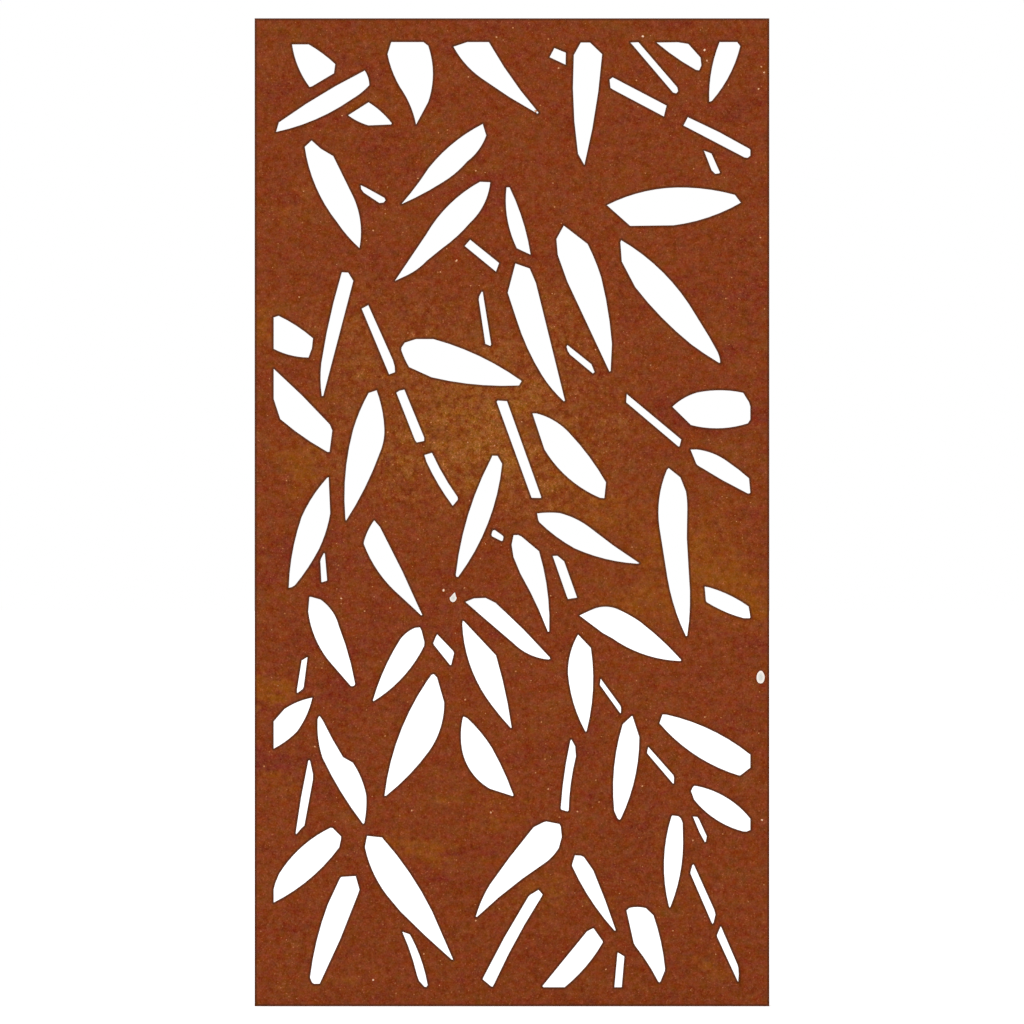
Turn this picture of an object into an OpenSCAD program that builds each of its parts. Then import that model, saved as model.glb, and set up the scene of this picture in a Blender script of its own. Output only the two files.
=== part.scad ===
// Laser cut metal screen: one steel sheet with a bamboo leaf pattern cut through it, held from
// behind by a mitred frame of four folded angles. Weld studs on the sheet's back pass through the
// angles' flanges, where washers and nuts pull the sheet flat, so nothing shows on its face.
// The front faces -Y and +Z is up. The origin lies under the middle of the screen's width and depth.

/* [Screen] */
// Overall width
panel_w = 547; // [450:1:700]
// Overall height
panel_h = 1050; // [900:1:1300]
// Thickness of the face sheet
sheet_t = 1.5; // [1:0.1:3]
// Plain border at each side of the pattern
side_border = 20.25; // [18.25:0.5:40.25]
// Plain border below the pattern
bottom_border = 20.25; // [18.25:0.5:40.25]
// Plain border above the pattern
top_border = 25.25; // [18.25:0.5:40.25]

/* [Rear frame] */
// Depth of the frame behind the sheet
frame_depth = 25; // [18:1:50]
// Width of the flange that lies on the sheet
flange_w = 15; // [14.5:0.1:16]
// Metal thickness of the folded angles
angle_t = 2; // [1.5:0.1:2.2]
// Distance from the sheet's edge in to the frame
frame_inset = 1; // [0.5:0.1:1.5]

/* [Fastenings] */
// Diameter of the weld studs
stud_d = 4; // [3:0.5:4]
// Distance from each corner to the nearest studs
stud_corner = 60; // [40:5:80]
// Number of studs up each side
side_studs = 5; // [3:1:9]
// Number of studs along the top and along the bottom
end_studs = 3; // [2:1:5]
// Diameter of the fixing holes in the frame's outer walls
fixing_d = 7; // [5:0.5:9]
// Spacing of the two fixing holes in each side
side_fixing_spacing = 800; // [500:10:840]
// Spacing of the two fixing holes in the top and in the bottom
end_fixing_spacing = 300; // [200:10:380]

/* [Hidden] */
$fn = 48;

rust = [0.51, 0.235, 0.114];
weld_brown = [0.36, 0.19, 0.12];
bare_steel = [0.72, 0.72, 0.7];

// Depths, from the sheet's face at the front to the frame's open edge at the back.
front_y = -(sheet_t + frame_depth) / 2;
seam_y = front_y + sheet_t;
flange_y = seam_y + angle_t;

// The frame's outline, and the bends of its angles.
frame_w = panel_w - 2 * frame_inset;
frame_h = panel_h - 2 * frame_inset;
bend_in_r = 1.5;
bend_out_r = bend_in_r + angle_t;
drill_l = 4 * angle_t;

// Studs with a thin foot, plain washers and hexagon nuts, in proportion to the thread.
foot_d = 1.35 * stud_d;
foot_h = 0.8;
foot_clearance = 1.1;
washer_d = 2.25 * stud_d;
washer_bore = stud_d + 0.3;
washer_t = 0.8;
nut_flats = 1.75 * stud_d;
nut_h = 0.8 * stud_d;
stud_tip = 0.5;
stud_l = angle_t + washer_t + nut_h + 2 * stud_tip;

// The stud line leaves the washers room between the bend and the flange's edge.
stud_inset = frame_inset + bend_out_r + washer_d / 2 + 0.3;
side_stud_pitch = (panel_h - 2 * stud_corner) / (side_studs - 1);
end_stud_pitch = (panel_w - 2 * stud_corner) / (end_studs - 1);
stud_places = concat(
    [for (i = [0:side_studs - 1], side = [-1, 1])
        [side * (panel_w / 2 - stud_inset), stud_corner + i * side_stud_pitch]],
    [for (i = [0:end_studs - 1], z = [stud_inset, panel_h - stud_inset])
        [stud_corner - panel_w / 2 + i * end_stud_pitch, z]]);

weld_leg = 3;
weld_l = frame_depth - bend_out_r - 2;

// Each cut-out is drawn along the dark rim that the cut leaves, this far outside the opening.
rim = 0.25;

// The field that the drawn rims fill.
field_w = panel_w - 2 * side_border + 2 * rim;
field_h = panel_h - bottom_border - top_border + 2 * rim;

arc_step = 4;

// Each cut-out lists its corners clockwise, as seen from the front, from the field's lower left.
// A row of two numbers is a corner with a straight edge to the next one. A row of four is a
// corner whose edge bends: it is the arc through the second pair of numbers.
leaves = [
    // along the top edge
    [[19.5, 1002.5], [37.5, 1002.5, 52.3, 992.8], [65.8, 981.5], [64.5, 971.5], [41, 957.5],
        [38.3, 956.8, 23.1, 986.5]],
    [[125, 1005], [159.5, 1005], [164.6, 1001, 169.5, 966],
        [164.6, 941], [151.5, 916.5, 144.9, 938],
        [134.5, 956.5, 126.3, 973.5],
        [121, 992]],
    [[191, 1000], [206, 1005], [229, 1005, 253.6, 966], [282, 929.6], [280.6, 928.5, 250, 946.5],
        [221.2, 966, 204, 981.3]],
    [[298.5, 998.7], [310.9, 993.6], [310.6, 980.4], [293.2, 988.6]],
    [[326.5, 1004.5], [336.5, 1004.5], [349.5, 992, 342.5, 932.4], [330.5, 873.5],
        [323.5, 886, 318.5, 938.4], [319, 991]],
    [[379, 1004.5], [388, 1004.8], [429.3, 956.8], [430.3, 952.5], [428, 950], [424.5, 951]],
    [[406.5, 1004.5], [430, 1004.8], [441, 1003], [454, 988.5], [455, 980], [452.5, 974.5],
        [449, 975, 427, 988.7]],
    [[474, 1005], [493, 1005], [496.3, 1000.5, 484.8, 969.6], [466, 942], [463, 941, 465.1, 973.6]],

    // upper left
    [[2.5, 909], [5.5, 919.5, 49.7, 948.7], [97, 974.8, 100.6, 967.5], [102, 958.9, 95.6, 952.6],
        [84, 944.3, 45, 922.5]],
    [[79, 927], [101, 941, 114.5, 930.9], [126, 918.5], [125, 917], [101, 916, 89.4, 920.5]],
    [[33, 893.5], [40.5, 900.5], [50.5, 891.5], [63.6, 883.8], [82.7, 845, 92.2, 816],
        [91.5, 785.5, 79.5, 797.6],
        [67.5, 813.2, 47.6, 845]],
    [[92.5, 853], [98.5, 850.2], [118, 839.4], [119.3, 836.5], [117, 834], [112.5, 833.5],
        [96, 844.5], [93, 848.5]],
    [[135.3, 832, 149.5, 849.3], [165.1, 871.4, 191.8, 898.2], [222.5, 918], [226.3, 905.5, 219, 891.3],
        [206, 877.8, 197.5, 868.9], [180.5, 856, 158.2, 843]],
    [[128.5, 750.5], [162.5, 800.9, 190, 835.3], [219.5, 856.5], [230.6, 856, 224, 832.8],
        [209, 812.6, 197.2, 800.1], [179.2, 785.3], [163, 772.2, 152.5, 763],
        [140, 755.8]],
    [[209, 795], [240, 770], [236.5, 760.5], [203, 788]],
    [[247.5, 850.5], [251, 850.6, 265, 815.4], [273.5, 778.5], [258.5, 785.5, 248.3, 817.4]],

    // upper right
    [[357, 965], [360.5, 967.5], [418, 937.4], [415, 925.4], [361, 954], [358, 956]],
    [[440.3, 925.2, 456, 918], [506, 891.5], [507, 890], [507, 884], [504, 881.5],
        [500.5, 882], [435.5, 916]],
    [[457.2, 889.7], [465.6, 886.5], [474.8, 866], [473.5, 865], [469.5, 864.5], [465.5, 868.4]],
    [[354, 831.5, 395, 846.3], [440, 850.3, 467, 847.7], [490.5, 842.6], [497, 834, 461, 817.9],
        [425, 809.8], [379, 809.2]],
    [[308.5, 810], [334, 790.3, 342.8, 770.8], [348.4, 755, 355.1, 723], [359.9, 684], [358.5, 655],
        [357, 654.3, 327.6, 716], [312.2, 750], [302, 778.5], [300.5, 795.5]],
    [[369.5, 794.5, 414.4, 759.8], [449, 714.6], [462.8, 692.3], [471.4, 676.9, 474.1, 670],
        [475, 664.1], [473.5, 663.6, 458, 673.4], [443.8, 683.4, 410.8, 713.6], [384.4, 744.1],
        [370, 771.5], [368.5, 792]],
    [[311.3, 681], [312.5, 683], [338, 662.5], [341.5, 654], [339.5, 652.3], [315, 672.6],
        [312.6, 676.5]],

    // middle left
    [[72.5, 760.3], [79.5, 760], [85, 751], [53, 628.5], [51.2, 628.3, 49.8, 645],
        [50.6, 663.3, 58.7, 707.1]],
    [[0, 712.3], [5.5, 714, 26, 702.4], [42.2, 690], [41, 679], [37.3, 669.3, 18.6, 671.6],
        [0, 678.6]],
    [[93.5, 721.5], [100.8, 725.5], [127, 667], [129, 660], [129.3, 653.8], [122.8, 651.3]],
    [[136, 680.5], [139.5, 685.5], [151.5, 689.3], [170, 689.3, 218.7, 671.3], [264, 644.6],
        [261, 639.6, 214, 640.7], [168, 648.3], [144, 659.2, 138.5, 669.9], [135.6, 677.5]],
    [[221, 739.5], [222.5, 739.5], [231.5, 683.5], [230.5, 681.5], [225, 684], [218, 731],
        [218.5, 734.5]],
    [[257, 769.7], [272.4, 764.3], [279, 749], [310, 623.5], [308.5, 622.8, 296.2, 635.6],
        [285.4, 650.3, 270, 679], [258.3, 709.5], [248.8, 738.5]],
    [[0, 658, 30.4, 629.4], [60, 598.5], [62.7, 592], [59.7, 569], [57.3, 569, 29.8, 586.2],
        [7, 604], [0, 625.5]],
    [[101, 632], [109.7, 634.9, 115.6, 614], [118, 594, 117, 580.5], [113.3, 568.4, 97.3, 531],
        [77, 495.5], [76.2, 498.5, 76.6, 550], [84.5, 593, 91.7, 613]],
    [[130.4, 632.2], [134, 634.5], [139.2, 635.6], [160.3, 584.5], [160.3, 580.7], [152.3, 579],
        [150.3, 581.5]],
    [[160.2, 566], [168.5, 568.5, 181.2, 543.8], [196, 521], [196, 518.2],
        [190.5, 511.6, 178, 529.8], [162.5, 558.5]],
    [[56.5, 541.3], [58.8, 542.8], [60.5, 504, 57.2, 489], [48.7, 466.2, 37, 446.3], [23, 427.4],
        [19.5, 425.3], [16, 424.5, 20, 463], [29.8, 500.3, 41.3, 521.5]],
    [[53.5, 462], [54.8, 461], [57.2, 433], [56.7, 432], [51.5, 430.5], [50.7, 431],
        [49.6, 453], [50.3, 455.8]],
    [[107, 496.8], [113.3, 489.5, 137.3, 442], [158.3, 395.7], [157, 395.3], [134, 416.5, 110.6, 442.7],
        [95.7, 471.5], [96, 474, 100.6, 486.2]],
    [[231, 562], [232.5, 565.4], [238.2, 565.2], [243.2, 556.6, 228.1, 493.4], [196.4, 436.2],
        [194.2, 436.3], [193.6, 438.5, 206.1, 500.5]],
    [[232.5, 485], [233.5, 486.2], [235.5, 486.2], [243.5, 480.5], [244.6, 479], [244, 475.2],
        [242.5, 474.1], [232, 479.4], [231.5, 481.5]],
    [[237, 622.5], [238.2, 624], [248.3, 623.3], [284.7, 521.3], [284.2, 520], [274.2, 520.2]],

    // middle right
    [[375.3, 631], [433.6, 582.4], [431.7, 575], [430.2, 574.8], [374.7, 621.8]],
    [[423.7, 617.2, 436, 626.4], [450, 632.4, 474, 634.9], [499.3, 632.2], [505.5, 622.3],
        [507, 617.5], [507, 603.5], [504.3, 599.4, 473, 594.1], [443.6, 597.6]],
    [[275, 610.3], [279.5, 610.3, 297.2, 603.2], [314.5, 589.5, 336, 563.8], [353.6, 536.8],
        [351.8, 519.8], [347, 520.2, 313.3, 541.3], [287.8, 571.9]],
    [[443, 571.8], [449.7, 572, 467.3, 567.6], [482.5, 559.2, 494.1, 550.8], [505.6, 541.2],
        [507, 526], [506, 524.8], [504, 524.8, 476.7, 539.2], [450.3, 555], [449, 557]],
    [[418, 550.2], [420, 552.3], [432.6, 542.2], [438.6, 527, 439.7, 518], [440, 508],
        [439.5, 478], [441.8, 438, 442.8, 405], [439.8, 373.4], [438.3, 373.2, 425.4, 406],
        [418.4, 436], [410, 489, 409.8, 519.5]],
    [[280, 504, 292, 504.9], [304, 504.4, 320.3, 498.6], [335, 489.9, 362.5, 469], [389.4, 450.8],
        [386.5, 450.2, 357.5, 454.2], [320, 466.5, 309, 473.1], [282.4, 494.4], [281.2, 497]],
    [[255, 480.9], [260, 481.1], [263.6, 479.5], [282.4, 463.7, 291, 424], [293.2, 378.2],
        [291.6, 377.8, 281.8, 401.5], [262.2, 439.9], [254.9, 457.5], [252.9, 470.5]],
    [[296.5, 458.8], [301.7, 459], [303.6, 457.6], [309.1, 452.9], [322.8, 414.5], [322, 414],
        [313, 412.6], [311.8, 415]],
    [[458, 426.3], [463, 425.4, 485, 417], [505.2, 405], [507, 393.2], [506, 392.3],
        [500, 392.3, 480, 399.1], [460.3, 409.3], [459.4, 411]],
    [[204, 410], [213, 413.7], [225.5, 414.2], [236.3, 408.8, 266, 380.4], [293.9, 350.8],
        [294.3, 349.3], [292.6, 348.4, 274, 352.9], [255.4, 365.3], [204.5, 409]],
    [[324.8, 395.4], [340, 402.4, 355, 404.8], [369, 400.7, 380.1, 394.9], [390.1, 388.5, 412.3, 369.8],
        [433.4, 348.3], [433.2, 347], [430.8, 346.8, 393.5, 353.9], [360, 371], [350, 376.5]],

    // lower left
    [[38, 415.3], [40, 415.3], [50, 412.5, 61.4, 401.5], [69.5, 384.4, 79.7, 354.3], [86.9, 322.8],
        [86.5, 321.3], [84.5, 320], [82, 320.2], [57.6, 348.4, 43.5, 373.2], [36.7, 400]],
    [[29.8, 347.6], [36, 351.4], [36.3, 350.6], [32.3, 319.5], [31.3, 317.2], [25.6, 312.8],
        [24.8, 313.5], [24.8, 316.5]],
    [[150.5, 382.4], [155.7, 382.9], [157.5, 379.5], [160.6, 367], [160.3, 363, 137.3, 329.4],
        [106.2, 303.9], [105.5, 305.2, 117.8, 338.8], [134.5, 369.9, 141.3, 377]],
    [[172.5, 373], [174.2, 375.7], [175.2, 374.3], [191.2, 357.6], [192, 355], [189, 342.6],
        [187.5, 342.6], [170.5, 363.8], [169.6, 366]],
    [[201, 389.8], [202.5, 389.4, 225.5, 365.2], [236.6, 353.1, 246.3, 315.3], [253.3, 275.9],
        [252, 275.7, 241.9, 287.1], [231.8, 299.9, 214.4, 328.7], [200.5, 386]],
    [[0, 282.8], [11.5, 296, 24.5, 303.1], [41.5, 308.2, 35.8, 290.5], [25, 271.8, 13, 261.5],
        [0, 253.5]],
    [[163, 325.8], [168, 332.6], [170.5, 333.2], [174, 329.5], [181.6, 303, 176.9, 273.5],
        [165.2, 250.7, 143.5, 225], [119.5, 203.4], [117.8, 203.6, 133, 267.3]],
    [[36.9, 241.3], [38.1, 241.8], [39, 241], [42.2, 226.5], [42, 220.5], [33, 172],
        [30, 169.3], [24.2, 162.6], [23.4, 164, 29.7, 205]],
    [[46.7, 285], [48.3, 288.6], [49.6, 288.1], [52.6, 283.7, 64.5, 260.9], [74, 244.9],
        [84.5, 239, 93.5, 222],
        [98.8, 204, 98.9, 193], [96.7, 174.7], [95.4, 173.6], [94.3, 174.7, 71.3, 208.2],
        [52, 244, 48.2, 259], [46.6, 275]],
    [[201, 286.5], [202, 288.1], [206, 286.4, 219.8, 271.9], [232, 255.2, 243.3, 233.4],
        [255.3, 204.2], [254.2, 203.2], [230, 211, 210.4, 228.7], [200.1, 253.5, 199, 269]],
    [[5.6, 120.4, 29.5, 149.1], [60.5, 169.9], [63, 169.6], [71.9, 160.7], [72, 158],
        [70, 148.8, 38.6, 115.3], [0, 89.9], [0, 104.2], [1.7, 110.8]],
    [[70.5, 116], [72.2, 117.7], [87.5, 118.6], [91.6, 104], [90, 99.2, 71.1, 51.3], [49.2, 3.8],
        [43, 3.6], [40.8, 5.2], [38.6, 10.5, 44.4, 44],
        [57.5, 88]],
    [[99.3, 161.3], [115.4, 159.6, 144.4, 122.6], [168.6, 81.2], [191.2, 29.4],
        [189.5, 29.3, 161.5, 54.6], [134.8, 80.6], [120, 98.4, 105.9, 122], [97.3, 147.5], [97.1, 150]],
    [[136.5, 59.6], [144.7, 56.7], [146.3, 54.3, 157.4, 28.7], [164.1, 2.5], [162.5, 0.2],
        [160.3, 0.6], [154.6, 6.9], [152.6, 12.3, 145.2, 37.8]],
    [[270.9, 96.8], [273, 98.7], [281.7, 104], [286.2, 99], [285.4, 96.9, 255.5, 46], [234.7, 3.7],
        [233, 0.5], [231.3, 0.9], [222.4, 8.3], [222.4, 9.8, 245.7, 54.1]],

    // lower right
    [[323.7, 375.4], [337.5, 360.9, 339.9, 322], [333, 272.5], [332, 271.6],
        [331, 272.5, 318.7, 302.3], [312.8, 334, 315.2, 354.5]],
    [[347.6, 328.6], [368.7, 299.7], [369.6, 297], [369.4, 291.9], [368.5, 291.2], [346.7, 321.5]],
    [[413.3, 290.3], [417.5, 290.2, 464.5, 274.1], [507, 247.5], [507, 233.5], [496.2, 225.2],
        [494.4, 225.2, 448.3, 246.9], [410, 280.8]],
    [[315.3, 262], [316, 263.7], [317.1, 263.1], [320.8, 256.3], [321.6, 245.5, 315.9, 215],
        [313.9, 188], [312.3, 186.9], [305.9, 188.8], [305.1, 190.5, 308.9, 227]],
    [[380.5, 288.6], [381.7, 288.6], [389, 266, 384.2, 222.3], [369.3, 179.4], [367.7, 177.8],
        [365.5, 179.8], [362, 187.5, 361.7, 232.5], [371, 279.8]],
    [[398.3, 256], [425.2, 225.6], [425.9, 223], [425.6, 216.6], [424.5, 216.5], [397, 248.8],
        [397.2, 251.8]],
    [[445, 212], [446.8, 214.5], [450, 214.2, 481.5, 201.9], [507, 179.4], [507, 167.3],
        [503, 165.5], [499.3, 165.6, 470.2, 178.4], [447, 199.4], [443.6, 208.7]],
    [[276.5, 170.5], [287, 175.8], [290, 176.6], [304, 173.9], [305.5, 171], [306.6, 160],
        [303.5, 148.4, 297.5, 140.2], [290, 133.2, 254.3, 107.6], [216.3, 74.8],
        [214.8, 75, 221, 92.4], [230.1, 109.7, 249.3, 136.3], [272, 165]],
    [[422.8, 181.7], [424, 183], [430.3, 182.2], [433, 180], [435, 175], [435.3, 163, 433.4, 127],
        [422.4, 86.5], [421.3, 84.3], [420.1, 86.3, 414.9, 135]],
    [[445.5, 181.9], [450.5, 181.4], [452.3, 179], [460.7, 160.7], [459.7, 155], [458.5, 154.1],
        [452.5, 165]],
    [[320.3, 140.6], [326.5, 140.3], [330, 138.8], [340, 124.5, 352.6, 93], [364, 60.6],
        [362.5, 60.1, 337.1, 92.9], [317.2, 129], [317.4, 131.5]],
    [[445, 130], [446.3, 131.1], [447.2, 130], [468.6, 82.6], [469.9, 77.4], [468, 69.3],
        [467, 67.3], [465.8, 68.4], [443, 121], [443, 123]],
    [[333, 59.6], [337, 61.8], [340.1, 63.3], [350, 49.3], [350.1, 47.6, 332.1, 22.1],
        [309.5, 0], [287, 0], [285.5, 1.4]],
    [[365.5, 37], [366.8, 37], [373.1, 33], [370.3, 0], [362.2, 0], [362.2, 1]],
    [[375, 82], [378, 84.6, 387, 85.7], [396, 84.4], [404, 76.8, 411.8, 49], [416.3, 20.5],
        [416.1, 17.5], [411.2, 5.7], [410, 5.2], [408.8, 6.1, 394.5, 30.3], [384.3, 44.2], [382.7, 47.3]],
    [[475.2, 65.3], [475.9, 64.5], [493.3, 24.3], [494.2, 21], [494.7, 13.8], [494.1, 5.7],
        [493.3, 6.3], [471.4, 53.8], [471.2, 55.8]],
];

// The centre of the circle through three points.
function arc_centre(a, b, c) =
    let (area = 2 * (a.x * (b.y - c.y) + b.x * (c.y - a.y) + c.x * (a.y - b.y)))
    [(a * a) * (b.y - c.y) + (b * b) * (c.y - a.y) + (c * c) * (a.y - b.y),
     (a * a) * (c.x - b.x) + (b * b) * (a.x - c.x) + (c * c) * (b.x - a.x)] / area;

function whole_turn(angle) = angle < 0 ? angle + 360 : angle;

// Points along the arc from one corner through a middle point to the next, without the next.
function arc_points(from, through, to) =
    let (centre = arc_centre(from, through, to),
         radius = norm(from - centre),
         start = atan2(from.y - centre.y, from.x - centre.x),
         end = atan2(to.y - centre.y, to.x - centre.x),
         clockwise = cross(through - from, to - through) < 0,
         turn = clockwise ? -whole_turn(start - end) : whole_turn(end - start),
         steps = ceil(abs(turn) / arc_step))
    [for (i = [0:steps - 1])
        let (angle = start + turn * i / steps)
        centre + radius * [cos(angle), sin(angle)]];

function edge_points(row, next) =
    let (corner = [row[0], row[1]])
    len(row) == 2 ? [corner] : arc_points(corner, [row[2], row[3]], [next[0], next[1]]);

function outline(rows) =
    [for (i = [0:len(rows) - 1])
        each edge_points(rows[i], rows[(i + 1) % len(rows)])];

// The pattern is drawn out to its outermost corners, and stretches from there to the real field.
function furthest(axis) = max([for (leaf = leaves, corner = leaf) corner[axis]]);

drawn_w = furthest(0);
drawn_h = furthest(1);

// The same outline on the real field, whose lower left corner is the origin.
function on_field(points) =
    [for (p = points) [p.x * field_w / drawn_w, p.y * field_h / drawn_h]];

// A clockwise outline with each of its edges moved inwards by the same distance.
function inset(points, distance) =
    let (count = len(points),
         outward = [for (i = [0:count - 1])
             let (edge = points[(i + 1) % count] - points[i])
             [-edge.y, edge.x] / norm(edge)])
    [for (i = [0:count - 1])
        let (before = outward[(i + count - 1) % count], after = outward[i])
        points[i] - distance * (before + after) / (1 + before * after)];

module face_sheet() {
    color(rust)
    translate([-panel_w / 2, seam_y, 0]) rotate([90, 0, 0])
    linear_extrude(sheet_t) difference() {
        square([panel_w, panel_h]);
        translate([side_border - rim, bottom_border - rim])
        for (leaf = leaves) polygon(inset(on_field(outline(leaf)), rim));
    }
}

// A rectangle with the corner at the origin rounded.
module bent_corner(w, h, r) {
    translate([r, 0]) square([w - r, h]);
    translate([0, r]) square([w, h - r]);
    translate([r, r]) circle(r);
}

// A folded angle along +Z with mitred ends. Its flange runs inwards along +X, its wall along +Y.
module mitred_angle(length) {
    intersection() {
        linear_extrude(length) difference() {
            bent_corner(flange_w, frame_depth, bend_out_r);
            translate([angle_t, angle_t]) bent_corner(flange_w, frame_depth, bend_in_r);
        }
        translate([0, frame_depth, 0]) rotate([90, 0, 0]) linear_extrude(frame_depth)
        polygon([[0, 0], [flange_w, flange_w], [flange_w, length - flange_w], [0, length]]);
    }
}

// Places its children at every stud, at the given depth, with their +Z pointing backwards.
module at_studs(depth) {
    for (place = stud_places)
        translate([place.x, depth, place.y]) rotate([-90, 0, 0]) children();
}

module stud_holes() {
    at_studs(seam_y - angle_t) cylinder(d = foot_d + foot_clearance, h = 3 * angle_t);
}

module fixing_holes() {
    for (side = [-1, 1], end = [-1, 1]) translate([0, seam_y + frame_depth / 2, panel_h / 2]) {
        translate([side * frame_w / 2, 0, end * side_fixing_spacing / 2])
            rotate([0, 90, 0]) cylinder(d = fixing_d, h = drill_l, center = true);
        translate([side * end_fixing_spacing / 2, 0, end * frame_h / 2])
            cylinder(d = fixing_d, h = drill_l, center = true);
    }
}

module left_stile() {
    color(rust) difference() {
        translate([-frame_w / 2, seam_y, frame_inset]) mitred_angle(frame_h);
        stud_holes();
        fixing_holes();
    }
}

module right_stile() {
    mirror([1, 0, 0]) left_stile();
}

module bottom_rail() {
    color(rust) difference() {
        translate([frame_w / 2, seam_y, frame_inset]) rotate([0, -90, 0]) mitred_angle(frame_w);
        stud_holes();
        fixing_holes();
    }
}

module top_rail() {
    translate([0, 0, panel_h]) mirror([0, 0, 1]) bottom_rail();
}

// A slightly convex fillet bead stands in each inner corner, where two walls meet.
module corner_welds() {
    corner_x = frame_w / 2 - angle_t;
    corner_z = frame_h / 2 - angle_t;
    bead = outline([[0, 0], [0, weld_leg, 0.6 * weld_leg, 0.6 * weld_leg], [weld_leg, 0]]);
    color(weld_brown)
    for (side = [0, 1], end = [0, 1])
        translate([0, seam_y + bend_out_r, panel_h / 2]) mirror([side, 0, 0]) mirror([0, 0, end])
        translate([-corner_x, weld_l, -corner_z]) rotate([90, 0, 0]) linear_extrude(weld_l)
        polygon(bead);
}

module weld_studs() {
    radius = stud_d / 2;
    color(bare_steel) at_studs(seam_y) rotate_extrude()
    polygon([[0, 0], [foot_d / 2, 0], [foot_d / 2, foot_h], [radius, foot_h],
             [radius, stud_l - stud_tip], [radius - stud_tip, stud_l], [0, stud_l]]);
}

module washers() {
    color(bare_steel) at_studs(flange_y) difference() {
        cylinder(d = washer_d, h = washer_t);
        translate([0, 0, -washer_t]) cylinder(d = washer_bore, h = 3 * washer_t);
    }
}

// Hexagon nuts with their corners turned down on the outer face.
module nuts() {
    flat_r = nut_flats / 2;
    corner_r = flat_r / cos(30);
    chamfer = 0.4;
    color(bare_steel) at_studs(flange_y + washer_t) difference() {
        intersection() {
            cylinder(r = corner_r, h = nut_h, $fn = 6);
            rotate_extrude()
            polygon([[0, 0], [corner_r, 0], [corner_r, nut_h - chamfer], [flat_r, nut_h], [0, nut_h]]);
        }
        translate([0, 0, -nut_h]) cylinder(d = stud_d, h = 3 * nut_h);
    }
}

face_sheet();
left_stile();
right_stile();
top_rail();
bottom_rail();
corner_welds();
weld_studs();
washers();
nuts();
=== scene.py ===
# %% [markdown]
# # A laser cut screen of weathering steel
# The screen is a thin steel sheet with a bamboo leaf pattern cut through it. A mitred frame of
# folded angles stiffens it from behind, on welded studs with washers and nuts. The modelled part
# already holds every one of these pieces at its real size. This script gives them what a drawing
# leaves out: rounded cut edges, rippled welds, threads, rust, and the light of a plain studio.

# %% The modelled part
import math

import bmesh
import bpy
import numpy as np
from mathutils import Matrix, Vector
from mathutils.geometry import delaunay_2d_cdt


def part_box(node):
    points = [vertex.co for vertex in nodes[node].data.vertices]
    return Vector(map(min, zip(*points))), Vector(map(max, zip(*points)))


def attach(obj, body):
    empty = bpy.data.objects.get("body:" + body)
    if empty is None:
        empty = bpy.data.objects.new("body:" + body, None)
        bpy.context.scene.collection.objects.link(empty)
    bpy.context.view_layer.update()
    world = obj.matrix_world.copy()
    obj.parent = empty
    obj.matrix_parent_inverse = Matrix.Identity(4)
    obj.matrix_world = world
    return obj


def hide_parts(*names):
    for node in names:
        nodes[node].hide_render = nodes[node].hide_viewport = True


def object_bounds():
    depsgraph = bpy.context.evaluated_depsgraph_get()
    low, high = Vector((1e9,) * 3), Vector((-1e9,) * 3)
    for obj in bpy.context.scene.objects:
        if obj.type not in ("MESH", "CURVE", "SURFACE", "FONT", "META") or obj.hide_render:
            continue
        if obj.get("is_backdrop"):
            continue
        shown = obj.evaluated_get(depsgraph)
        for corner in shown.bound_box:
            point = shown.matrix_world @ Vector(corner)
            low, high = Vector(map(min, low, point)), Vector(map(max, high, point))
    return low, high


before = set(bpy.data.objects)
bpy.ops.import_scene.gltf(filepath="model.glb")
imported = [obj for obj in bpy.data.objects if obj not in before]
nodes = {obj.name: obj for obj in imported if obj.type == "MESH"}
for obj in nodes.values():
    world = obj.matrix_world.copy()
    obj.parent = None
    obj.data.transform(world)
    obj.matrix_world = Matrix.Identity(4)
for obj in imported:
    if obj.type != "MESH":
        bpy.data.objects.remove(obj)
cad_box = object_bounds()
sheet_low, sheet_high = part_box("face_sheet")
MM = 0.001
print("nodes:", ", ".join(sorted(nodes)))

# %% [markdown]
# ## The camera
# The photograph looks at the middle of the screen, square on, and no side of any cut shows. That
# takes a lens far away. An orthographic camera would do it too, but a real lens at ten metres
# keeps a trace of depth and works for every other view. The edges of the screen in the picture,
# in pixels, give the width of the view and the point that it is centred on.

# %% Camera
PICTURE_PX = 1024
LEFT_PX, RIGHT_PX = 254.6, 769.4
TOP_PX, BOTTOM_PX = 18.3, 1006.3
CAMERA_DISTANCE = 10.0

metres_per_px = (sheet_high.z - sheet_low.z) / (BOTTOM_PX - TOP_PX)
view_width = PICTURE_PX * metres_per_px
camera_x = (PICTURE_PX - LEFT_PX - RIGHT_PX) / 2 * metres_per_px
camera_z = sheet_low.z + (BOTTOM_PX - PICTURE_PX / 2) * metres_per_px

lens = bpy.data.cameras.new("square_on")
lens.sensor_width = 36
lens.lens = lens.sensor_width * CAMERA_DISTANCE / view_width
lens.clip_end = 100
camera = bpy.data.objects.new("square_on", lens)
camera.location = (camera_x, sheet_low.y - CAMERA_DISTANCE, camera_z)
camera.rotation_euler = (math.radians(90), 0, 0)
bpy.context.collection.objects.link(camera)
bpy.context.scene.camera = camera
bpy.context.scene.view_settings.view_transform = "Standard"
print(f"view {view_width:.3f} m wide, lens {lens.lens:.0f} mm")

# %% [markdown]
# ## Shader maths as Python
# A rust colour is arithmetic on patterns: one noise times another, less a threshold. Wired by
# hand that is dozens of Math nodes. A small class that wraps a socket lets Python's own
# operators add those nodes, so a finish reads like a formula. One method adds any other node.

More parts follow.
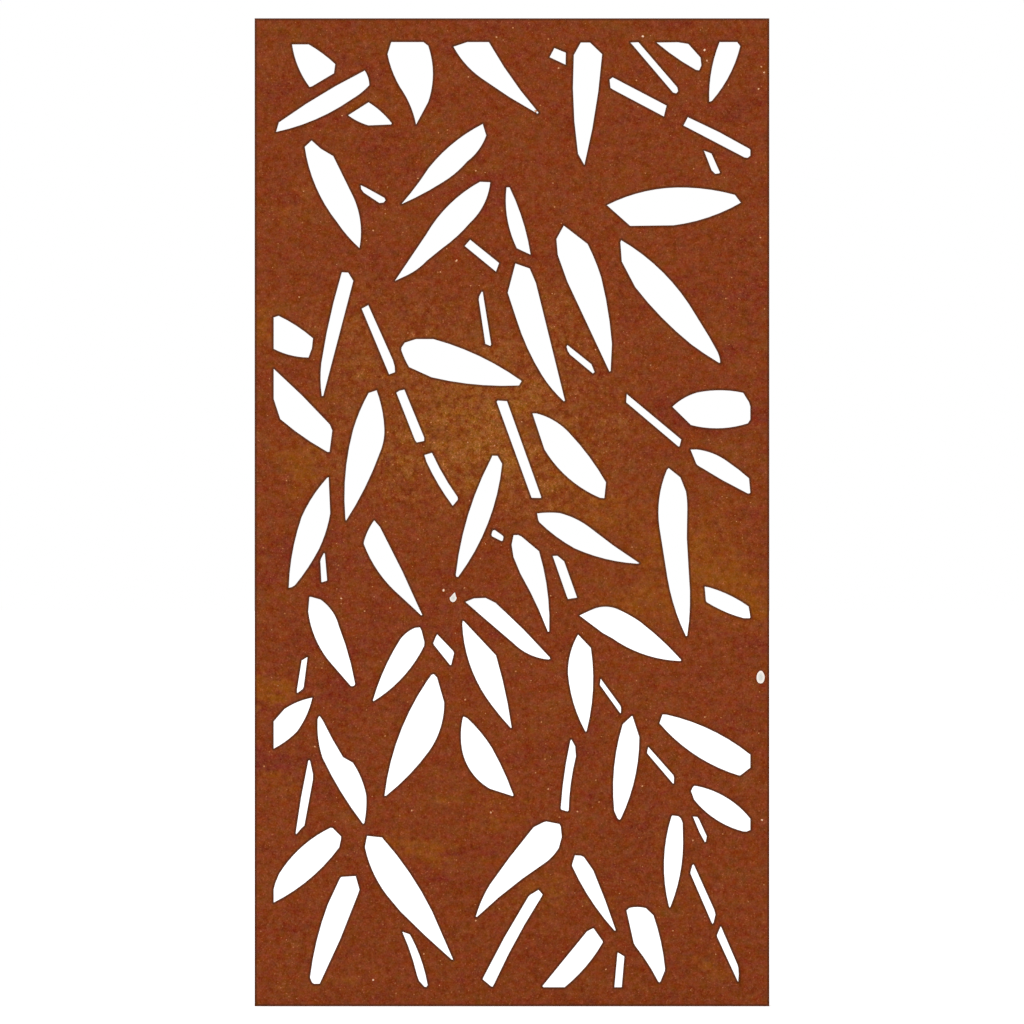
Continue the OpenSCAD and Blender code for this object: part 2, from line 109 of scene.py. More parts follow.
# %% A socket that does sums
class Signal:
    """A socket in a material's node tree. Sums and products of signals add Math nodes."""

    def __init__(self, tree, socket=None):
        self.tree = tree
        self.socket = socket

    def node(self, kind, settings=None, inputs=None, output=0):
        """Adds a node of a kind: first its settings, then the values or links of its sockets."""
        made = self.tree.nodes.new("ShaderNode" + kind)
        for name, value in (settings or {}).items():
            setattr(made, name, value)
        for name, value in (inputs or {}).items():
            if isinstance(value, Signal):
                self.tree.links.new(value.socket, made.inputs[name])
            else:
                made.inputs[name].default_value = value
        return Signal(self.tree, made.outputs[output] if len(made.outputs) else None)

    def math(self, operation, *values):
        """One Math node, whose sockets take the values in order."""
        return self.node("Math", {"operation": operation}, dict(enumerate(values)))

    def __add__(self, other):
        return self.math("ADD", self, other)

    def __sub__(self, other):
        return self.math("SUBTRACT", self, other)

    def __rsub__(self, other):
        return self.math("SUBTRACT", other, self)

    def __mul__(self, other):
        return self.math("MULTIPLY", self, other)

    __radd__ = __add__
    __rmul__ = __mul__

    def between(self, low, high):
        """0 below low, 1 above high, and a smooth rise between them."""
        bounds = {"Value": self, "From Min": low, "From Max": high}
        return self.node("MapRange", {"interpolation_type": "SMOOTHSTEP"}, bounds)

    def mix(self, first, second):
        """From the first colour to the second, by this signal."""
        return self.node("Mix", {"data_type": "RGBA"}, {0: self, 6: first, 7: second}, output=2)

    def noise(self, scale, detail=2.0, roughness=0.5, warp=0.0, coloured=False):
        """Cloudy noise from 0 to 1 on this vector. scale counts its spots per metre.

        Coloured noise is three noises in one colour."""
        inputs = {"Vector": self, "Scale": scale, "Detail": detail, "Roughness": roughness,
                  "Distortion": warp}
        return self.node("TexNoise", None, inputs, output="Color" if coloured else 0)

    def stretched(self, x, y, z):
        """This vector with each axis scaled, which draws a pattern out along the others."""
        return self.node("Mapping", None, {"Vector": self, "Scale": (x, y, z)})

    def times(self, other):
        """This colour times a colour or a grey, channel by channel."""
        return self.node("VectorMath", {"operation": "MULTIPLY"}, {0: self, 1: other})

    def plus(self, other):
        """This colour and another, added."""
        return self.node("VectorMath", {"operation": "ADD"}, {0: self, 1: other})


# %% Colours and empty finishes
def paint(red, green, blue):
    """A colour given as a picture shows it, 0 to 255, as the linear light that shaders use."""
    shown = np.array([red, green, blue]) / 255
    linear = np.where(shown > 0.04045, ((shown + 0.055) / 1.055) ** 2.4, shown / 12.92)
    return (*linear.tolist(), 1.0)


def new_finish(name):
    """An empty material, its Principled shader, and the vector of a point on the object."""
    material = bpy.data.materials.new(name)
    material.use_nodes = True
    tree = material.node_tree
    place = Signal(tree).node("TexCoord", output="Object")
    return material, tree.nodes["Principled BSDF"], place


def feed(shader, name, signal):
    """Links a signal to one of the shader's sockets."""
    signal.tree.links.new(signal.socket, shader.inputs[name])


print("rust brown as linear light:", [round(channel, 3) for channel in paint(131, 65, 23)])

# %% [markdown]
# ## Rust
# Weathering steel grows a dense brown patina. Close up it is a fine grain, about a millimetre
# wide, with flecks of pale dust. From further off it drifts in hue, from maroon where the layer
# is old to ochre where water stood and left it young. A picture of rust could be stretched over
# the sheet, but it would repeat and blur. Here each size of variation is a noise of its own, so
# each can be set by eye: drift, mottle, small shifts of hue, grain and flecks. Blooms and stains
# of ochre, and older and darker patches, then lie at chosen places.

# %% Stains
# Each stain is its middle on the sheet, its half width and half height, and its strength.
PALE_BLOOMS = [
    ((-0.045, 0.600), (0.120, 0.075), 0.18),
    ((-0.040, 0.632), (0.240, 0.165), 0.50),
    ((0.060, 0.740), (0.070, 0.070), 0.20),
    ((-0.170, 0.720), (0.060, 0.090), 0.20),
    ((0.055, 0.560), (0.090, 0.060), 0.30),
]
YELLOW_STAINS = [
    ((0.240, 0.440), (0.060, 0.050), 0.70),
    ((0.190, 0.485), (0.100, 0.090), 0.60),
    ((0.130, 0.430), (0.090, 0.045), 0.45),
    ((0.095, 0.535), (0.060, 0.050), 0.50),
    ((-0.215, 0.570), (0.055, 0.050), 0.80),
    ((-0.262, 0.725), (0.035, 0.045), 0.70),
    ((-0.265, 0.335), (0.030, 0.035), 0.75),
    ((-0.240, 0.235), (0.050, 0.020), 0.45),
    ((-0.100, 0.172), (0.095, 0.018), 0.65),
    ((-0.030, 0.215), (0.022, 0.028), 0.60),
    ((0.205, 0.035), (0.045, 0.030), 0.60),
    ((0.025, 0.120), (0.022, 0.035), 0.50),
    ((0.085, 0.110), (0.022, 0.022), 0.50),
    ((-0.150, 0.960), (0.045, 0.025), 0.65),
    ((-0.225, 0.865), (0.045, 0.035), 0.45),
    ((-0.190, 0.030), (0.090, 0.020), 0.45),
]
OLD_PATCHES = [
    ((0.248, 0.715), (0.050, 0.070), 0.7),
    ((0.220, 0.630), (0.080, 0.040), 0.8),
    ((-0.245, 0.260), (0.045, 0.040), 0.8),
    ((-0.230, 0.475), (0.080, 0.045), 0.8),
    ((-0.170, 0.380), (0.110, 0.060), 0.6),
    ((0.110, 0.960), (0.090, 0.030), 0.4),
    ((-0.060, 0.890), (0.120, 0.060), 0.5),
    ((0.080, 0.290), (0.100, 0.030), 0.4),
]
# How far, in metres, the fraying moves a point sideways and up over the whole range of its noise.
FRAY_WIDTH, FRAY_HEIGHT = 0.22, 0.10
print("stains:", len(PALE_BLOOMS) + len(YELLOW_STAINS) + len(OLD_PATCHES))


def frayed(place):
    """The point on the face, moved about by streaky noise, which frays the outlines of stains."""
    wander = place.stretched(1, 1, 2.4).noise(14.0, detail=4.0, roughness=0.6, coloured=True)
    moved = wander.plus((-0.5, -0.5, -0.5)).times((FRAY_WIDTH, 0, FRAY_HEIGHT))
    return place.times((1, 0, 1)).plus(moved)


def stains(place, ellipses):
    """How stained each point is: soft ellipses, 1 in the middle and 0 at the rim, added up."""
    total = 0.0
    for (x, z), (half_w, half_h), strength in ellipses:
        centred = place.node("Mapping", {"vector_type": "TEXTURE"}, {
            "Vector": place, "Location": (x, 0, z), "Scale": (half_w, 1, half_h)})
        distance = centred.node("VectorMath", {"operation": "LENGTH"}, {0: centred},
                                output="Value")
        total = total + distance.between(1.1, 0.0) * strength
    return total


# %% The rust finish
# The red, green and blue light that dust and the two shifts of hue add to the patina. The shift
# to red takes as much brightness from the green as it adds.
DUST = (0.49, 0.19, 0.094)
REDDER = (0.13, -0.026, 0.0)
BLUER = (0.0, 0.0, 0.040)


def rust_colour(place, pale, yellow=0.0, old=0.0, darkness=0.0):
    """The colour of the patina, and the mottle and grain that it is made of.

    The ground leans to maroon or olive by a drift that lies in flat streaks, as the sheet was
    rolled. Pale blooms and yellow stains lie on it, broken up by the mottle. Grains of dust and
    shifts of hue are added on top and not multiplied, because they show most where it is dark."""
    drift = place.stretched(1, 1, 2.2).noise(6.0, detail=4.0, roughness=0.6, warp=0.5)
    lean = place.stretched(1, 1, 2.4).noise(19.0, detail=4.0, roughness=0.65)
    flat = place.stretched(1, 1, 1.5)
    redder = flat.noise(95.0, detail=4.0, roughness=0.68) - 0.5
    bluer = flat.noise(80.0, detail=4.0, roughness=0.68) - 0.5
    mottle = place.noise(75.0, detail=4.0, roughness=0.6)
    clumps = place.noise(190.0, detail=3.0, roughness=0.55)
    grain = place.noise(640.0, detail=2.0, roughness=0.8)
    age = lean * 0.7 + drift * 0.3
    maroon = (age + old * 0.18).between(0.50, 0.70)
    olive = age.between(0.49, 0.34)
    ground = maroon.mix(paint(131, 58, 21), paint(124, 49, 25))
    ground = olive.mix(ground, paint(131, 65, 23))
    broken = (mottle - 0.5) * 1.5 + (clumps - 0.5) * 1.5 + (lean - 0.5) * 1.2 + (drift - 0.5) * 0.7
    stained = (yellow + broken * (yellow * 0.8 + 0.1)).between(0.0, 0.9)
    young = (pale + broken * (pale * 1.3 + 0.22)).between(0.03, 1.05)
    hue = stained.mix(ground, paint(141, 73, 17))
    hue = young.mix(hue, paint(153, 89, 28))
    shade = 1.0 - darkness + (mottle - 0.5) * 0.23
    shade = shade - young * clumps.between(0.50, 0.70) * 0.26
    flecks = grain.between(0.65, 0.77) * 0.86
    dust = (grain - 0.505) * 0.54 + (clumps - 0.5) * 0.32 + flecks
    colour = hue.times(shade).plus((dust * (young * 1.4 + 1.0)).times(DUST))
    colour = colour.plus(redder.times(REDDER)).plus(bluer.times(BLUER))
    return colour, mottle, grain


def add_relief(shader, mottle, grain, depth, shine):
    """The patina's relief, pits of the grain's size on the swell of the mottle, and its shine."""
    height = grain * 0.7 + mottle * 0.6
    bump = {"Height": height, "Strength": 0.5, "Distance": depth}
    feed(shader, "Normal", height.node("Bump", None, bump))
    shader.inputs["Specular IOR Level"].default_value = shine


# %% [markdown]
# ## The face sheet
# A laser leaves a crisp edge, and the sheet beside each cut turns darker, because the heat
# changed its skin. That dark band is also painted shade along the edge. The modelled sheet has
# knife edges and nothing to tell the material how far a cut is. So the sheet is made again on the
# same outlines. A small profile is carried round every outline: over the dark band of the face,
# round the edge, through the thickness and back over the other side. The flat fields between the
# bands are then filled with triangles.

# %% Outlines of the sheet
def distinct_corners(mesh):
    """A mesh's distinct corners, and its triangles on them."""
    corners = np.empty(3 * len(mesh.vertices), np.float32)
    mesh.vertices.foreach_get("co", corners)
    triangles = np.empty(len(mesh.loops), np.int32)
    mesh.loops.foreach_get("vertex_index", triangles)
    points, index = np.unique(corners.reshape(-1, 3).round(6), axis=0, return_inverse=True)
    return points.astype(float), index.ravel()[triangles].reshape(-1, 3)


def outlines_at_front(mesh):
    """The points of all outlines of the front face, and for each the points before and after.

    A triangle's edge belongs to an outline if no other front triangle has it the other way
    round. The triangles turn the same way, so the metal is always on an outline's left."""
    points, triangles = distinct_corners(mesh)
    at_front = np.isclose(points[:, 1], points[:, 1].min(), atol=1e-5)
    front = triangles[at_front[triangles].all(axis=1)]
    edges = np.concatenate([front[:, [0, 1]], front[:, [1, 2]], front[:, [2, 0]]])
    code = edges[:, 0] * len(points) + edges[:, 1]
    twin = edges[:, 1] * len(points) + edges[:, 0]
    rim = edges[~np.isin(code, twin)]
    kept, rim = np.unique(rim, return_inverse=True)
    rim = rim.reshape(-1, 2)
    after = np.empty(len(kept), int)
    before = np.empty(len(kept), int)
    after[rim[:, 0]] = rim[:, 1]
    before[rim[:, 1]] = rim[:, 0]
    return points[kept][:, [0, 2]], before, after


rim_points, rim_before, rim_after = outlines_at_front(nodes["face_sheet"].data)
print("points on the sheet's outlines:", len(rim_points))


# %% Stations round the outlines
ROUND_STEPS = 5
SHARP_TURN = math.radians(-35)


def unit(vectors):
    """Each vector divided by its own length."""
    return vectors / np.linalg.norm(vectors, axis=-1, keepdims=True)


def stations_round(points, before, after):
    """Places to set the profile: a point, and the direction from it into the metal.

    The direction is square to the edges, to their left. At a gentle bend it is the bend's
    bisector, made longer so that the band keeps its width. At a sharp leaf tip the point is
    passed ROUND_STEPS times, while the direction swings from one edge's to the next one's."""
    arriving = unit(points - points[before])
    leaving = unit(points[after] - points)
    left_in = np.stack([-arriving[:, 1], arriving[:, 0]], axis=1)
    left_out = np.stack([-leaving[:, 1], leaving[:, 0]], axis=1)
    turn = np.arctan2(arriving[:, 0] * leaving[:, 1] - arriving[:, 1] * leaving[:, 0],
                      (arriving * leaving).sum(axis=1))
    sharp = turn < SHARP_TURN
    count = np.where(sharp, ROUND_STEPS, 1)
    owner = np.repeat(np.arange(len(points)), count)
    number = np.arange(len(owner))
    first = np.cumsum(count) - count
    swing = turn[owner] * ((number - first[owner]) / (ROUND_STEPS - 1))
    x, z = left_in[owner].T
    swung = np.stack([x * np.cos(swing) - z * np.sin(swing),
                      x * np.sin(swing) + z * np.cos(swing)], axis=1)
    bisector = (left_in + left_out) / (1 + (left_in * left_out).sum(axis=1, keepdims=True))
    inward = np.where(sharp[owner, None], swung, bisector[owner])
    following = number + 1
    ends = (first + count - 1)[owner] == number
    following[ends] = first[after[owner[ends]]]
    return points[owner], inward, following


stations, inward, following = stations_round(rim_points, rim_before, rim_after)
print("stations:", len(stations))


# %% Inside or outside
def inside(spots, starts, ends):
    """Whether each spot lies within closed outlines.

    It does if a ray from it to the right crosses them an odd number of times."""
    x, z = spots[:, None, 0], spots[:, None, 1]
    straddles = (starts[:, 1] > z) != (ends[:, 1] > z)
    rise = np.where(straddles, ends[:, 1] - starts[:, 1], 1.0)
    crossing = starts[:, 0] + (ends[:, 0] - starts[:, 0]) * (z - starts[:, 1]) / rise
    return (straddles & (crossing > x)).sum(axis=1) % 2 == 1


sheet_middle = np.array([[sheet_low.x + sheet_high.x, sheet_low.z + sheet_high.z]]) / 2
print("metal at the sheet's middle:", inside(sheet_middle, rim_points, rim_points[rim_after])[0])

# %% The profile and the new sheet
# The width of the dark band along every cut, which is heat tint and painted edge shade.
HEAT_TINT_AND_SHADE_BAND = 3.0 * MM
EDGE_RADIUS = 0.15 * MM
EDGE_STEPS = 4
# The nearness to the cut where the rounding starts, from 0 where the dark band ends to 1 on
# the cut itself.
ROUNDING_STARTS = 0.94
thickness = sheet_high.y - sheet_low.y


def edge_profile():
    """Rows of distance into the metal, depth behind the face, and nearness to the cut.

    The rounding is a quarter turn: radius x (1 - sin) over the face, radius x (1 - cos) down."""
    quarter = np.linspace(0, math.pi / 2, EDGE_STEPS)
    over = EDGE_RADIUS * (1 - np.sin(quarter))
    down = EDGE_RADIUS * (1 - np.cos(quarter))
    front = np.stack([over, down, np.linspace(ROUNDING_STARTS, 1.0, EDGE_STEPS)], axis=1)
    front = np.vstack([[HEAT_TINT_AND_SHADE_BAND, 0, 0], front])
    back = front[::-1] * [1, -1, 1] + [0, thickness, 0]
    return np.vstack([front, back])


def put_attribute(mesh, name, values):
    """Gives every point of a mesh a number of its own, which a finish can read by its name."""
    attribute = mesh.attributes.new(name, "FLOAT", "POINT")
    attribute.data.foreach_set("value", values.ravel().astype(np.float32))


def sheet_mesh(name):
    """Every station carries the profile: point + distance x inward, at the profile's depth."""
    profile = edge_profile()
    rows = len(profile)
    count = len(stations)
    flat = stations[None] + profile[:, 0, None, None] * inward[None]
    depth = np.broadcast_to(sheet_low.y + profile[:, 1, None], (rows, count))
    vertices = np.stack([flat[..., 0], depth, flat[..., 1]], axis=-1).reshape(-1, 3)
    row_starts = count * np.arange(rows - 1)[:, None]
    here = np.arange(count)[None] + row_starts
    there = following[None] + row_starts
    band = np.stack([here, here + count, there + count, there], axis=-1).reshape(-1, 4)
    links = np.stack([np.arange(count), following], axis=1).tolist()
    filled = delaunay_2d_cdt(flat[0].tolist(), links, [], 1, 1e-7)
    print("points added where the field's outlines cross:", len(filled[0]) - count)
    front = np.array(filled[2])
    front = front[inside(flat[0][front].mean(axis=1), flat[0], flat[0][following])]
    back = front[:, ::-1] + count * (rows - 1)
    mesh = bpy.data.meshes.new(name)
    mesh.from_pydata(vertices, [], band.tolist() + front.tolist() + back.tolist())
    put_attribute(mesh, "near_cut", np.repeat(profile[:, 2], count))
    return mesh


# %% Finishing a mesh and adding it as a piece
MERGE_DISTANCE = 0.002 * MM
# The angle between two faces, in degrees, past which the edge between them looks sharp.
CREASE = 30


def smooth(mesh, crease=CREASE):
    """Shades the faces as one surface, except across the creases."""
    mesh.shade_smooth()
    mesh.set_sharp_from_angle(angle=math.radians(crease))


def settle(mesh, crease=CREASE):
    """Joins coincident points, turns the faces outwards and smooths all but the creases."""
    work = bmesh.new()
    work.from_mesh(mesh)
    bmesh.ops.remove_doubles(work, verts=work.verts, dist=MERGE_DISTANCE)
    bmesh.ops.recalc_face_normals(work, faces=work.faces)
    work.to_mesh(mesh)
    work.free()
    smooth(mesh, crease)


def add_piece(name, mesh, material, slot, *replaced):
    """Puts a finished mesh into the scene as a piece of the screen."""
    piece = bpy.data.objects.new(name, mesh)
    bpy.context.collection.objects.link(piece)
    mesh.materials.clear()
    mesh.materials.append(material)
    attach(piece, "root")
    if replaced:
        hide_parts(*replaced)
    print(name, len(mesh.polygons), "faces")
    return piece


# %% The face and its finish
def face_finish():
    """Rust with ochre blooms, darker in the band along the cuts, which is heat tint and painted
    edge shade, and burnt brown inside the cuts.
    """
    material, shader, place = new_finish("rusted_face")
    spot = frayed(place)
    pale, yellow, old = (stains(spot, marks) for marks in (PALE_BLOOMS, YELLOW_STAINS, OLD_PATCHES))
    colour, mottle, grain = rust_colour(place, pale, yellow, old)
    near = place.node("Attribute", {"attribute_name": "near_cut"}, output="Fac")
    # Painted shade along each cut's edge, on top of the real heat tint: the face darkens towards
    # the cut.
    heat_tint_and_shade = near.between(0.0, 0.48) * 0.67
    colour = heat_tint_and_shade.mix(colour, paint(70, 38, 20))
    striations = place.stretched(1, 0.04, 1).noise(1400.0, detail=2.0)
    side = near.between(0.97, 1.0)
    burnt = striations.mix(paint(88, 48, 27), paint(140, 77, 36))
    feed(shader, "Base Color", side.mix(colour, burnt))
    feed(shader, "Roughness", 0.80 + (mottle - 0.5) * 0.25)
    add_relief(shader, mottle, grain, 0.15 * MM, shine=0.1)
    return material


face_mesh = sheet_mesh("patterned_sheet")
settle(face_mesh)
add_piece("patterned_sheet", face_mesh, face_finish(), "weathered_face", "face_sheet")

# %% [markdown]
# ## Pale specks
# Dust of lime or cement has dried on the face in specks of a millimetre, and there are two larger
# splashes. Painted dots would vanish in a mesh without its colours, so each speck is a low dome
# of its own. The two splashes and the most visible specks stand where the photograph has them.
# The others are scattered by a random generator with a fixed start, away from the cuts.

# %% Closed surfaces from rings of points
def ringed_mesh(name, rings, around=False):
    """A mesh from copies x rows x columns points, with four-sided faces from row to row.

    Each row closes on itself. The first and last rows become end faces, or, if the surface runs
    around like a washer, they are joined to each other."""
    copies, rows, columns, _ = rings.shape
    index = np.arange(copies * rows * columns).reshape(copies, rows, columns)
    if around:
        index = np.concatenate([index, index[:, :1]], axis=1)
    beside = np.roll(index, -1, axis=2)
    quads = np.stack([index[:, :-1], beside[:, :-1], beside[:, 1:], index[:, 1:]], axis=-1)
    faces = quads.reshape(-1, 4).tolist()
    if not around:
        faces += index[:, 0, ::-1].tolist() + index[:, -1].tolist()
    mesh = bpy.data.meshes.new(name)
    mesh.from_pydata(rings.reshape(-1, 3), [], faces)
    return mesh


# %% Where the specks are
SPECK_COUNT = 700
# Each splash is its middle on the sheet, its half width and half height, and how pointed its
# top is.
SPLASHES = [
    ((0.2642, 0.3497), (0.0054, 0.0080), 0.0),
    ((-0.0626, 0.4343), (0.0045, 0.0055), 0.8),
]
# The most visible specks: the place on the sheet, and the radius in millimetres.
BIG_SPECKS = [
    ((-0.0728, 0.4421), 1.7), ((-0.0588, 0.7926), 1.4), ((0.0252, 0.9513), 1.4),
    ((0.2657, 0.1980), 1.5), ((-0.0595, 0.7920), 1.3), ((-0.1475, 0.8245), 1.3),
    ((-0.1815, 0.4335), 1.4), ((-0.1475, 0.0280), 1.5), ((-0.0385, 0.0910), 1.3),
    ((0.0385, 0.2310), 1.3), ((-0.0225, 0.2060), 1.4), ((0.0505, 0.2010), 1.2),
    ((0.0695, 0.2070), 1.3), ((0.1385, 0.2340), 1.3), ((0.0925, 0.2170), 1.2),
    ((-0.1065, 0.2080), 1.3), ((-0.2095, 0.2760), 1.3), ((-0.0165, 1.0300), 1.3),
    ((0.0385, 1.0280), 1.2), ((0.0495, 0.9970), 1.3), ((-0.0385, 0.8880), 1.3),
    ((0.1390, 1.0308), 1.6), ((0.2046, 1.0163), 1.6), ((0.2620, 0.9750), 1.4),
    ((0.2072, 1.0050), 1.4), ((0.2300, 0.9790), 1.2), ((0.0040, 0.3560), 1.2),
    ((-0.0497, 0.3259), 1.3), ((0.0312, 0.3021), 1.2), ((0.0413, 0.3162), 1.1),
    ((0.0143, 0.2949), 1.1), ((-0.1110, 0.3234), 1.1), ((0.0351, 0.2626), 1.2),
    ((0.2650, 0.9985), 1.3), ((0.2680, 0.9925), 1.4), ((0.2640, 0.8170), 1.3),
]


def speck_places():
    """Places, sizes and paleness of all specks. The scattered ones keep off the dark bands along
    the cuts.

    Twice as many places as needed are drawn, because those in the openings and on the bands fall
    away. A big speck's paleness is its radius in millimetres less 0.85."""
    chance = np.random.default_rng(11)
    spots = np.column_stack([chance.uniform(sheet_low.x, sheet_high.x, 2 * SPECK_COUNT),
                             chance.uniform(sheet_low.z, sheet_high.z, 2 * SPECK_COUNT)])
    band_line = stations + HEAT_TINT_AND_SHADE_BAND * inward
    spots = spots[inside(spots, band_line, band_line[following])][:SPECK_COUNT]
    radii = MM * (0.65 + 0.60 * chance.random(len(spots)) ** 3)
    paleness = 0.15 + 0.32 * chance.random(len(spots)) ** 2
    big_spots, big_radii = (np.array(column) for column in zip(*BIG_SPECKS))
    return (np.vstack([big_spots, spots]), np.concatenate([MM * big_radii, radii]),
            np.concatenate([big_radii - 0.85, paleness]))


speck_spots, speck_radii, speck_paleness = speck_places()
print("specks:", len(speck_spots), "splashes:", len(SPLASHES))


# %% Domes
# The rings of a dome, as shares of the way from its middle to its rim.
DOME_RINGS = [0.25, 0.6, 0.8, 0.88, 1.0]
# A dome's height as a share of its radius, the height that none exceeds, and how far the rim
# lies under the face.
DOME_RISE = 0.12
DOME_HEIGHT = 0.25 * MM
RIM_DEPTH = 0.02 * MM


def domes(name, middles, half_sizes, points, pointed, lobed, paleness, fading, ringed):
    """Low domes on the face: share x (cos, sin) of each angle, with lobes, and height 1 - share^2.

    A pointed dome narrows towards its top, like a drop, and leans to the right. The paleness
    falls outwards by share^2 times fading, or rises if fading is below zero. In the last two
    rings it is gone, or, if ringed, below zero, which the finish shows as a dark ring."""
    chance = np.random.default_rng(5)
    angle = np.linspace(0, 2 * math.pi, points, endpoint=False)[None]
    phase = chance.uniform(0, 2 * math.pi, (3, len(middles), 1))
    lobes = 0.12 * np.sin(2 * angle + phase[0]) + 0.10 * np.sin(3 * angle + phase[1])
    lobes = 1 + lobed * (lobes + 0.05 * np.sin(5 * angle + phase[2]))
    upper = np.clip(np.sin(angle), 0, 1)
    pointed = pointed[:, None]
    narrow = 1 - 0.75 * pointed * upper ** 0.8
    rim_x = half_sizes[:, :1] * (lobes * np.cos(angle) * narrow + 0.6 * pointed * upper ** 1.5)
    rim_z = half_sizes[:, 1:] * (lobes * np.sin(angle) + 0.25 * pointed * upper ** 5)
    share = np.array(DOME_RINGS)[None, :, None]
    height = np.minimum(DOME_RISE * half_sizes.mean(axis=1), DOME_HEIGHT)[:, None, None]
    depth = sheet_low.y - height * (1 - share ** 2) + RIM_DEPTH
    x = middles[:, None, :1] + share * rim_x[:, None]
    z = middles[:, None, 1:] + share * rim_z[:, None]
    rings = np.stack([x, np.broadcast_to(depth, x.shape), z], axis=-1)
    mesh = ringed_mesh(name, rings)
    tones = paleness[:, None, None] * (1 - fading * share ** 2) * np.ones(rings.shape[:3])
    tones[:, -2:] = -ringed
    put_attribute(mesh, "paleness", tones)
    settle(mesh)
    return mesh


# %% Lime, and the specks and splashes of it
SPLASH_PALENESS = 0.93


def lime_finish():
    """Dried lime dust: the paler the thicker, with rust showing through where it is thin.

    Only a splash is paler than 0.85. Its middle, at 0.93, is a little grey, and it is whitest
    towards its rim, at 1."""
    material, shader, place = new_finish("lime_dust")
    pale = place.node("Attribute", {"attribute_name": "paleness"}, output="Fac")
    patches = place.noise(900.0, detail=2.0)
    amount = pale + pale * (patches - 0.5) * 0.5
    colour = amount.between(0.0, 0.4).mix(paint(133, 63, 30), paint(202, 130, 78))
    colour = amount.between(0.25, 0.75).mix(colour, paint(252, 222, 196))
    thick = pale.between(0.93, 1.0).mix(paint(219, 222, 216), paint(252, 242, 234))
    colour = pale.between(0.85, 0.92).mix(colour, thick)
    dark_ring = pale.between(-0.2, -1.0)
    feed(shader, "Base Color", dark_ring.mix(colour, paint(78, 30, 12)))
    shader.inputs["Roughness"].default_value = 0.9
    shader.inputs["Specular IOR Level"].default_value = 0.1
    return material


lime = lime_finish()
speck_mesh = domes("pale_specks", speck_spots, np.column_stack([speck_radii, speck_radii]),
                   points=8, pointed=np.zeros(len(speck_spots)), lobed=1.0,
                   paleness=speck_paleness, fading=0.85, ringed=0.0)
splash_middles, splash_sizes, splash_tips = (np.array(column) for column in zip(*SPLASHES))
splash_mesh = domes("pale_splashes", splash_middles, splash_sizes,
                    points=40, pointed=splash_tips, lobed=0.25,
                    paleness=np.full(len(SPLASHES), SPLASH_PALENESS), fading=-0.15, ringed=1.0)
add_piece("pale_specks", speck_mesh, lime, "weathered_face")
add_piece("pale_splashes", splash_mesh, lime, "weathered_face")

# %% [markdown]
# ## The folded angles
# Stiles and rails are folded from thicker strip, and their sawn and punched edges are slightly
# rounded. A bevel on the modelled angle gives that. It needs joined faces, so a copy has its
# corners merged and its flat triangles melted into whole faces, and the bevel finds real edges.
# The rust is the face's own formula, set darker, with runs of ochre down the steel where rain
# has drained, and without the face's stains.

# %% Angles with worn edges
ANGLE_ROUNDING = 0.3 * MM


def worn_angle(name, node, material):
    """A copy of a modelled angle with its edges rounded."""
    mesh = nodes[node].data.copy()
    mesh.name = name
    work = bmesh.new()
    work.from_mesh(mesh)
    bmesh.ops.remove_doubles(work, verts=work.verts, dist=MERGE_DISTANCE)
    bmesh.ops.dissolve_limit(work, angle_limit=math.radians(0.5),
                             verts=work.verts, edges=work.edges)
    work.to_mesh(mesh)
    work.free()
    smooth(mesh)
    piece = add_piece(name, mesh, material, "weathered_frame", node)
    rounding = piece.modifiers.new("worn_edges", "BEVEL")
    rounding.width = ANGLE_ROUNDING
    rounding.segments = 2
    rounding.limit_method = "ANGLE"
    rounding.angle_limit = math.radians(40)
    rounding.harden_normals = True


def frame_finish():
    """Older, darker rust than the face's, because the angles stay wet behind the sheet."""
    material, shader, place = new_finish("rusted_frame")
    runs = place.stretched(1, 1, 0.12).noise(38.0, detail=3.0)
    colour, mottle, grain = rust_colour(place, runs.between(0.55, 0.85) * 0.7, darkness=0.10)
    feed(shader, "Base Color", colour)
    feed(shader, "Roughness", 0.78 + (mottle - 0.5) * 0.3)
    add_relief(shader, mottle, grain, 0.2 * MM, shine=0.1)
    return material


frame_rust = frame_finish()
worn_angle("left_angle", "left_stile", frame_rust)
worn_angle("right_angle", "right_stile", frame_rust)
worn_angle("top_angle", "top_rail", frame_rust)
worn_angle("bottom_angle", "bottom_rail", frame_rust)

# %% [markdown]
# ## Studs, washers and nuts
# A modelled stud is a plain cylinder and a nut a plain hexagon. A real thread is a ridge that
# climbs one pitch with each turn, and a real nut is turned to a cone at both ends, which cuts its
# corners to arcs. Both are one radius written as a formula of angle and height, so each is made
# once as rings of points and then copied to every place that the modelled studs have. Stainless
# steel doesn't rust, but it takes on brown stains from the steel round it. Noise draws them, and
# the metal turns dull and no longer mirrors where they lie.

# %% Places of the fasteners
GROUP_GAP = 5 * MM


def group_middles(values):
    """Gives each value the middle of its group, where groups lie further apart than the gap."""
    order = np.argsort(values)
    ordered = values[order]
    group = np.concatenate([[0], np.cumsum(np.diff(ordered) > GROUP_GAP)])
    first = np.searchsorted(group, group)
    last = np.searchsorted(group, group, side="right") - 1
    result = np.empty_like(values)
    result[order] = (ordered[first] + ordered[last]) / 2
    return result


stud_points, _ = distinct_corners(nodes["weld_studs"].data)
stud_places = np.column_stack([group_middles(stud_points[:, 0]), group_middles(stud_points[:, 2])])
stud_places = np.unique(stud_places.round(5), axis=0)
print("studs:", len(stud_places))


def turned(radius, height, columns, foot_y):
    """Rings round every stud's axis. The radius is rows x columns; the height starts at foot_y."""
    angle = np.linspace(0, 2 * math.pi, columns, endpoint=False)
    x = stud_places[:, 0, None, None] + radius * np.cos(angle)
    z = stud_places[:, 1, None, None] + radius * np.sin(angle)
    y = np.broadcast_to(foot_y + height, x.shape)
    return np.stack([x, y, z], axis=-1)


